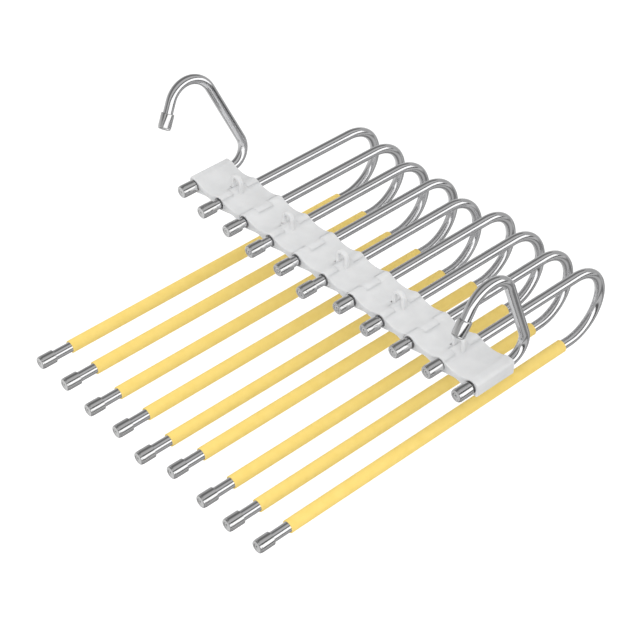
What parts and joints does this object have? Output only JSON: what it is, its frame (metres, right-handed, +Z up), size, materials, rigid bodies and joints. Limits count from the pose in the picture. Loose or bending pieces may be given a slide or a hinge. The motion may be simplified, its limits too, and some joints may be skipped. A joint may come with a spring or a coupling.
{
  "type": "multi tier trouser hanger",
  "caption": "Hinged strip that carries a row of swinging U-shaped trouser rods with soft sleeves, hung from a wardrobe rail by a tube hook at each end.",
  "frame": {"origin": "point inside the crown of the first hook where it rests on the rail", "axes": "+X along the strip towards the second hook, +Y along the rods towards their bends, +Z up"},
  "size_m": [0.3638, 0.3864, 0.1698],
  "materials": {
    "tube_steel": "polished stainless tube",
    "cap_steel": "pressed and brightened",
    "strip_plastic": "frosted, slightly translucent",
    "sleeve_rubber": "soft matt rubber"
  },
  "bodies": {
    "hook_1": {"hook_1_tube": "tube_steel", "hook_1_stub_cap": "cap_steel", "hook_1_tip_cap": "cap_steel"},
    "hook_2": {"hook_2_tube": "tube_steel", "hook_2_stub_cap": "cap_steel", "hook_2_tip_cap": "cap_steel"},
    "strip_01": {"link_01": "strip_plastic"},
    "strip_02": {"link_02": "strip_plastic"},
    "strip_03": {"link_03": "strip_plastic"},
    "strip_04": {"link_04": "strip_plastic"},
    "strip_05": {"link_05": "strip_plastic"},
    "strip_06": {"link_06": "strip_plastic"},
    "strip_07": {"link_07": "strip_plastic"},
    "strip_08": {"link_08": "strip_plastic"},
    "strip_09": {"link_09": "strip_plastic"},
    "strip_10": {"link_10": "strip_plastic"},
    "rod_1": {"rod_1_tube": "tube_steel", "rod_1_stub_cap": "cap_steel", "rod_1_end_cap": "cap_steel", "rod_1_sleeve": "sleeve_rubber"},
    "rod_2": {"rod_2_tube": "tube_steel", "rod_2_stub_cap": "cap_steel", "rod_2_end_cap": "cap_steel", "rod_2_sleeve": "sleeve_rubber"},
    "rod_3": {"rod_3_tube": "tube_steel", "rod_3_stub_cap": "cap_steel", "rod_3_end_cap": "cap_steel", "rod_3_sleeve": "sleeve_rubber"},
    "rod_4": {"rod_4_tube": "tube_steel", "rod_4_stub_cap": "cap_steel", "rod_4_end_cap": "cap_steel", "rod_4_sleeve": "sleeve_rubber"},
    "rod_5": {"rod_5_tube": "tube_steel", "rod_5_stub_cap": "cap_steel", "rod_5_end_cap": "cap_steel", "rod_5_sleeve": "sleeve_rubber"},
    "rod_6": {"rod_6_tube": "tube_steel", "rod_6_stub_cap": "cap_steel", "rod_6_end_cap": "cap_steel", "rod_6_sleeve": "sleeve_rubber"},
    "rod_7": {"rod_7_tube": "tube_steel", "rod_7_stub_cap": "cap_steel", "rod_7_end_cap": "cap_steel", "rod_7_sleeve": "sleeve_rubber"},
    "rod_8": {"rod_8_tube": "tube_steel", "rod_8_stub_cap": "cap_steel", "rod_8_end_cap": "cap_steel", "rod_8_sleeve": "sleeve_rubber"},
    "rod_9": {"rod_9_tube": "tube_steel", "rod_9_stub_cap": "cap_steel", "rod_9_end_cap": "cap_steel", "rod_9_sleeve": "sleeve_rubber"}
  },
  "joints": [
    {"name": "strip_drop", "type": "hinge", "parent": "hook_1", "child": "strip_01", "pos_m": [0.02196, 0.00567, -0.0843], "axis": [0, 1, 0], "range_deg": [-70, 90]},
    {"name": "strip_curl_1", "type": "hinge", "parent": "strip_01", "child": "strip_02", "pos_m": [0.05496, 0.00567, -0.0843], "axis": [0, -1, 0], "range_deg": [0, 15]},
    {"name": "strip_curl_2", "type": "hinge", "parent": "strip_02", "child": "strip_03", "pos_m": [0.08796, 0.00567, -0.0843], "axis": [0, -1, 0], "range_deg": [0, 15]},
    {"name": "strip_curl_3", "type": "hinge", "parent": "strip_03", "child": "strip_04", "pos_m": [0.12096, 0.00567, -0.0843], "axis": [0, -1, 0], "range_deg": [0, 15]},
    {"name": "strip_curl_4", "type": "hinge", "parent": "strip_04", "child": "strip_05", "pos_m": [0.15396, 0.00567, -0.0843], "axis": [0, -1, 0], "range_deg": [0, 15]},
    {"name": "strip_curl_5", "type": "hinge", "parent": "strip_05", "child": "strip_06", "pos_m": [0.18696, 0.00567, -0.0843], "axis": [0, -1, 0], "range_deg": [0, 15]},
    {"name": "strip_curl_6", "type": "hinge", "parent": "strip_06", "child": "strip_07", "pos_m": [0.21996, 0.00567, -0.0843], "axis": [0, -1, 0], "range_deg": [0, 15]},
    {"name": "strip_curl_7", "type": "hinge", "parent": "strip_07", "child": "strip_08", "pos_m": [0.25296, 0.00567, -0.0843], "axis": [0, -1, 0], "range_deg": [0, 15]},
    {"name": "strip_curl_8", "type": "hinge", "parent": "strip_08", "child": "strip_09", "pos_m": [0.28596, 0.00567, -0.0843], "axis": [0, -1, 0], "range_deg": [0, 15]},
    {"name": "strip_curl_9", "type": "hinge", "parent": "strip_09", "child": "strip_10", "pos_m": [0.31896, 0.00567, -0.0843], "axis": [0, -1, 0], "range_deg": [0, 15]},
    {"name": "rod_1_swing", "type": "hinge", "parent": "strip_01", "child": "rod_1", "pos_m": [0.05496, 0.00567, -0.0843], "axis": [0, -1, 0], "range_deg": [-58, 58]},
    {"name": "rod_2_swing", "type": "hinge", "parent": "strip_02", "child": "rod_2", "pos_m": [0.08796, 0.00567, -0.0843], "axis": [0, -1, 0], "range_deg": [-58, 58]},
    {"name": "rod_3_swing", "type": "hinge", "parent": "strip_03", "child": "rod_3", "pos_m": [0.12096, 0.00567, -0.0843], "axis": [0, -1, 0], "range_deg": [-58, 58]},
    {"name": "rod_4_swing", "type": "hinge", "parent": "strip_04", "child": "rod_4", "pos_m": [0.15396, 0.00567, -0.0843], "axis": [0, -1, 0], "range_deg": [-58, 58]},
    {"name": "rod_5_swing", "type": "hinge", "parent": "strip_05", "child": "rod_5", "pos_m": [0.18696, 0.00567, -0.0843], "axis": [0, -1, 0], "range_deg": [-58, 58]},
    {"name": "rod_6_swing", "type": "hinge", "parent": "strip_06", "child": "rod_6", "pos_m": [0.21996, 0.00567, -0.0843], "axis": [0, -1, 0], "range_deg": [-58, 58]},
    {"name": "rod_7_swing", "type": "hinge", "parent": "strip_07", "child": "rod_7", "pos_m": [0.25296, 0.00567, -0.0843], "axis": [0, -1, 0], "range_deg": [-58, 58]},
    {"name": "rod_8_swing", "type": "hinge", "parent": "strip_08", "child": "rod_8", "pos_m": [0.28596, 0.00567, -0.0843], "axis": [0, -1, 0], "range_deg": [-58, 58]},
    {"name": "rod_9_swing", "type": "hinge", "parent": "strip_09", "child": "rod_9", "pos_m": [0.31896, 0.00567, -0.0843], "axis": [0, -1, 0], "range_deg": [-58, 58]},
    {"name": "hook_2_turn", "type": "hinge", "parent": "strip_10", "child": "hook_2", "pos_m": [0.35196, 0.00567, -0.0843], "axis": [0, 1, 0], "range_deg": [-70, 90]}
  ],
  "couplings": [
    {"joint": "rod_2_swing", "follows": "rod_1_swing", "ratio": 1},
    {"joint": "rod_3_swing", "follows": "rod_1_swing", "ratio": 1},
    {"joint": "rod_4_swing", "follows": "rod_1_swing", "ratio": 1},
    {"joint": "rod_5_swing", "follows": "rod_1_swing", "ratio": 1},
    {"joint": "rod_6_swing", "follows": "rod_1_swing", "ratio": 1},
    {"joint": "rod_7_swing", "follows": "rod_1_swing", "ratio": 1},
    {"joint": "rod_8_swing", "follows": "rod_1_swing", "ratio": 1},
    {"joint": "rod_9_swing", "follows": "rod_1_swing", "ratio": 1}
  ]
}
